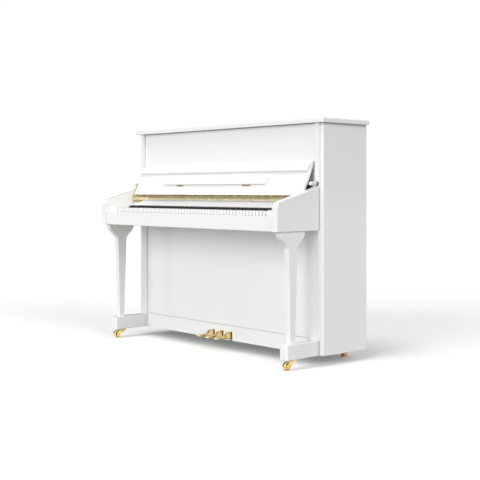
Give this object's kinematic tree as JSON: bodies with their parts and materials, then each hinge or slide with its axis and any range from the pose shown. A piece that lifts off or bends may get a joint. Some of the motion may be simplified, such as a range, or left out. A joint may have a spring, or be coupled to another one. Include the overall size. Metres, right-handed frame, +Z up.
{
  "type": "upright piano",
  "caption": "White upright piano with opening fallboard and lid, playing keys, three brass pedals, tapered legs and brass casters.",
  "frame": {"origin": "on the floor, under the middle of the outer box", "axes": "+X to the treble end, -Y towards the player, +Z up"},
  "size_m": [1.5, 0.598, 1.18],
  "materials": {
    "white_gloss": "high-gloss white polyester lacquer over wood",
    "key_white": "moulded acrylic key covers on spruce levers",
    "key_black": "black phenolic key tops, satin",
    "brass": "polished and lacquered brass",
    "frame_wood": "planed softwood and beech",
    "maple": "cross-laminated maple",
    "spruce": "varnished spruce",
    "plate_iron": "cast iron, gold bronze paint",
    "pin_steel": "nickel-plated steel",
    "string_steel": "steel wire, bass strings wound with copper",
    "action_metal": "cast and drawn metal with wooden rail",
    "hammer_felt": "maple mouldings with pressed wool felt heads",
    "damper_felt": "wooden heads with grey felt",
    "muffler_felt": "green felt on a rail",
    "peg_plastic": "white nylon with a dark rubber collar"
  },
  "bodies": {
    "case": {"side_panel_left": "white_gloss", "side_panel_right": "white_gloss", "stiles": "white_gloss", "upper_panel": "white_gloss", "lower_panel": "white_gloss", "bottom_rail": "white_gloss", "bottom_board": "frame_wood", "key_bed": "white_gloss", "key_slip": "white_gloss", "key_blocks": "white_gloss", "arm_left": "white_gloss", "arm_right": "white_gloss", "leg_left": "white_gloss", "leg_right": "white_gloss", "toe_block_left": "white_gloss", "toe_block_right": "white_gloss", "fallboard_rail": "white_gloss", "stop_pegs": "peg_plastic", "hinge_leaf": "brass", "back_frame": "frame_wood", "pin_block": "maple", "soundboard": "spruce", "iron_plate": "plate_iron", "tuning_pins": "pin_steel", "strings": "string_steel", "action_frame": "action_metal", "key_frame": "frame_wood", "rear_casters": "brass"},
    "fallboard": {"fallboard": "white_gloss", "fallboard_brass": "brass"},
    "fallboard_lip": {"fallboard_lip": "white_gloss"},
    "music_desk": {"music_desk": "white_gloss"},
    "lid": {"lid": "white_gloss"},
    "hammers": {"hammers": "hammer_felt"},
    "dampers": {"dampers": "damper_felt"},
    "muffler_rail": {"muffler_rail": "muffler_felt"},
    "keys_c": {"keys_c": "key_white"},
    "keys_c_sharp": {"keys_c_sharp": "key_black"},
    "keys_d": {"keys_d": "key_white"},
    "keys_d_sharp": {"keys_d_sharp": "key_black"},
    "keys_e": {"keys_e": "key_white"},
    "keys_f": {"keys_f": "key_white"},
    "keys_f_sharp": {"keys_f_sharp": "key_black"},
    "keys_g": {"keys_g": "key_white"},
    "keys_g_sharp": {"keys_g_sharp": "key_black"},
    "keys_a": {"keys_a": "key_white"},
    "keys_a_sharp": {"keys_a_sharp": "key_black"},
    "keys_b": {"keys_b": "key_white"},
    "pedal_soft": {"pedal_soft": "brass"},
    "pedal_middle": {"pedal_middle": "brass"},
    "pedal_sustain": {"pedal_sustain": "brass"},
    "rod_soft": {"rod_soft": "pin_steel"},
    "rod_middle": {"rod_middle": "pin_steel"},
    "rod_sustain": {"rod_sustain": "pin_steel"},
    "caster_fork_left": {"caster_fork_left": "brass"},
    "caster_fork_right": {"caster_fork_right": "brass"},
    "wheel_front_left": {"wheel_front_left": "brass"},
    "wheel_front_right": {"wheel_front_right": "brass"},
    "wheel_rear_left": {"wheel_rear_left": "brass"},
    "wheel_rear_right": {"wheel_rear_right": "brass"}
  },
  "joints": [
    {"name": "lid_hinge", "type": "hinge", "parent": "case", "child": "lid", "pos_m": [0, 0.299, 1.158], "axis": [-1, 0, 0], "range_deg": [0, 95]},
    {"name": "fallboard_hinge", "type": "hinge", "parent": "case", "child": "fallboard", "pos_m": [0, -0.1105, 0.797], "axis": [1, 0, 0], "range_deg": [0, 128]},
    {"name": "lip_hinge", "type": "hinge", "parent": "fallboard", "child": "fallboard_lip", "pos_m": [0, -0.03232, 0.96467], "axis": [-1, 0, 0], "range_deg": [0, 102]},
    {"name": "desk_hinge", "type": "hinge", "parent": "fallboard", "child": "music_desk", "pos_m": [0, -0.08007, 0.86225], "axis": [-1, 0, 0], "range_deg": [-90, 0]},
    {"name": "pedal_soft_press", "type": "hinge", "parent": "case", "child": "pedal_soft", "pos_m": [0, 0.061, 0.088], "axis": [1, 0, 0], "range_deg": [0, 4.6], "stiffness_Nm_per_rad": 40, "springref_deg": -3.44},
    {"name": "pedal_middle_press", "type": "hinge", "parent": "case", "child": "pedal_middle", "pos_m": [0, 0.061, 0.088], "axis": [1, 0, 0], "range_deg": [0, 4.6], "stiffness_Nm_per_rad": 40, "springref_deg": -3.44},
    {"name": "pedal_sustain_press", "type": "hinge", "parent": "case", "child": "pedal_sustain", "pos_m": [0, 0.061, 0.088], "axis": [1, 0, 0], "range_deg": [0, 4.6], "stiffness_Nm_per_rad": 40, "springref_deg": -3.44},
    {"name": "rod_soft_lift", "type": "slide", "parent": "case", "child": "rod_soft", "axis": [0, 0, 1], "range_m": [0, 0.0075]},
    {"name": "rod_middle_lift", "type": "slide", "parent": "case", "child": "rod_middle", "axis": [0, 0, 1], "range_m": [0, 0.0075]},
    {"name": "rod_sustain_lift", "type": "slide", "parent": "case", "child": "rod_sustain", "axis": [0, 0, 1], "range_m": [0, 0.0075]},
    {"name": "hammers_half_blow", "type": "hinge", "parent": "case", "child": "hammers", "pos_m": [0, 0.075, 0.83], "axis": [-1, 0, 0], "range_deg": [0, 8.2]},
    {"name": "dampers_lift", "type": "hinge", "parent": "case", "child": "dampers", "pos_m": [0, 0.1492, 0.81], "axis": [1, 0, 0], "range_deg": [0, 4.1]},
    {"name": "muffler_drop", "type": "slide", "parent": "case", "child": "muffler_rail", "axis": [0, 0, 1], "range_m": [-0.03, 0]},
    {"name": "keys_c_press", "type": "hinge", "parent": "case", "child": "keys_c", "pos_m": [0, -0.0395, 0.717], "axis": [1, 0, 0], "range_deg": [0, 2.66], "stiffness_Nm_per_rad": 6, "springref_deg": -6.88},
    {"name": "keys_c_sharp_press", "type": "hinge", "parent": "case", "child": "keys_c_sharp", "pos_m": [0, -0.0395, 0.717], "axis": [1, 0, 0], "range_deg": [0, 2.66], "stiffness_Nm_per_rad": 6, "springref_deg": -6.88},
    {"name": "keys_d_press", "type": "hinge", "parent": "case", "child": "keys_d", "pos_m": [0, -0.0395, 0.717], "axis": [1, 0, 0], "range_deg": [0, 2.66], "stiffness_Nm_per_rad": 6, "springref_deg": -6.88},
    {"name": "keys_d_sharp_press", "type": "hinge", "parent": "case", "child": "keys_d_sharp", "pos_m": [0, -0.0395, 0.717], "axis": [1, 0, 0], "range_deg": [0, 2.66], "stiffness_Nm_per_rad": 6, "springref_deg": -6.88},
    {"name": "keys_e_press", "type": "hinge", "parent": "case", "child": "keys_e", "pos_m": [0, -0.0395, 0.717], "axis": [1, 0, 0], "range_deg": [0, 2.66], "stiffness_Nm_per_rad": 6, "springref_deg": -6.88},
    {"name": "keys_f_press", "type": "hinge", "parent": "case", "child": "keys_f", "pos_m": [0, -0.0395, 0.717], "axis": [1, 0, 0], "range_deg": [0, 2.66], "stiffness_Nm_per_rad": 6, "springref_deg": -6.88},
    {"name": "keys_f_sharp_press", "type": "hinge", "parent": "case", "child": "keys_f_sharp", "pos_m": [0, -0.0395, 0.717], "axis": [1, 0, 0], "range_deg": [0, 2.66], "stiffness_Nm_per_rad": 6, "springref_deg": -6.88},
    {"name": "keys_g_press", "type": "hinge", "parent": "case", "child": "keys_g", "pos_m": [0, -0.0395, 0.717], "axis": [1, 0, 0], "range_deg": [0, 2.66], "stiffness_Nm_per_rad": 6, "springref_deg": -6.88},
    {"name": "keys_g_sharp_press", "type": "hinge", "parent": "case", "child": "keys_g_sharp", "pos_m": [0, -0.0395, 0.717], "axis": [1, 0, 0], "range_deg": [0, 2.66], "stiffness_Nm_per_rad": 6, "springref_deg": -6.88},
    {"name": "keys_a_press", "type": "hinge", "parent": "case", "child": "keys_a", "pos_m": [0, -0.0395, 0.717], "axis": [1, 0, 0], "range_deg": [0, 2.66], "stiffness_Nm_per_rad": 6, "springref_deg": -6.88},
    {"name": "keys_a_sharp_press", "type": "hinge", "parent": "case", "child": "keys_a_sharp", "pos_m": [0, -0.0395, 0.717], "axis": [1, 0, 0], "range_deg": [0, 2.66], "stiffness_Nm_per_rad": 6, "springref_deg": -6.88},
    {"name": "keys_b_press", "type": "hinge", "parent": "case", "child": "keys_b", "pos_m": [0, -0.0395, 0.717], "axis": [1, 0, 0], "range_deg": [0, 2.66], "stiffness_Nm_per_rad": 6, "springref_deg": -6.88},
    {"name": "caster_left_swivel", "type": "hinge", "parent": "case", "child": "caster_fork_left", "pos_m": [-0.6845, -0.171, 0.05], "axis": [0, 0, 1], "continuous": true},
    {"name": "caster_right_swivel", "type": "hinge", "parent": "case", "child": "caster_fork_right", "pos_m": [0.6845, -0.171, 0.05], "axis": [0, 0, 1], "continuous": true},
    {"name": "wheel_front_left_spin", "type": "hinge", "parent": "caster_fork_left", "child": "wheel_front_left", "pos_m": [-0.6845, -0.212, 0.0215], "axis": [1, 0, 0], "continuous": true},
    {"name": "wheel_front_right_spin", "type": "hinge", "parent": "caster_fork_right", "child": "wheel_front_right", "pos_m": [0.6845, -0.212, 0.0215], "axis": [1, 0, 0], "continuous": true},
    {"name": "wheel_rear_left_spin", "type": "hinge", "parent": "case", "child": "wheel_rear_left", "pos_m": [-0.61, 0.259, 0.0215], "axis": [0, 1, 0], "continuous": true},
    {"name": "wheel_rear_right_spin", "type": "hinge", "parent": "case", "child": "wheel_rear_right", "pos_m": [0.61, 0.259, 0.0215], "axis": [0, 1, 0], "continuous": true}
  ],
  "couplings": [
    {"joint": "rod_soft_lift", "follows": "pedal_soft_press", "m_per_rad": 0.091},
    {"joint": "rod_middle_lift", "follows": "pedal_middle_press", "m_per_rad": 0.091},
    {"joint": "rod_sustain_lift", "follows": "pedal_sustain_press", "m_per_rad": 0.091},
    {"joint": "hammers_half_blow", "follows": "pedal_soft_press", "ratio": 1.7391},
    {"joint": "dampers_lift", "follows": "pedal_sustain_press", "ratio": 0.8696},
    {"joint": "muffler_drop", "follows": "pedal_middle_press", "m_per_rad": -0.3712}
  ]
}
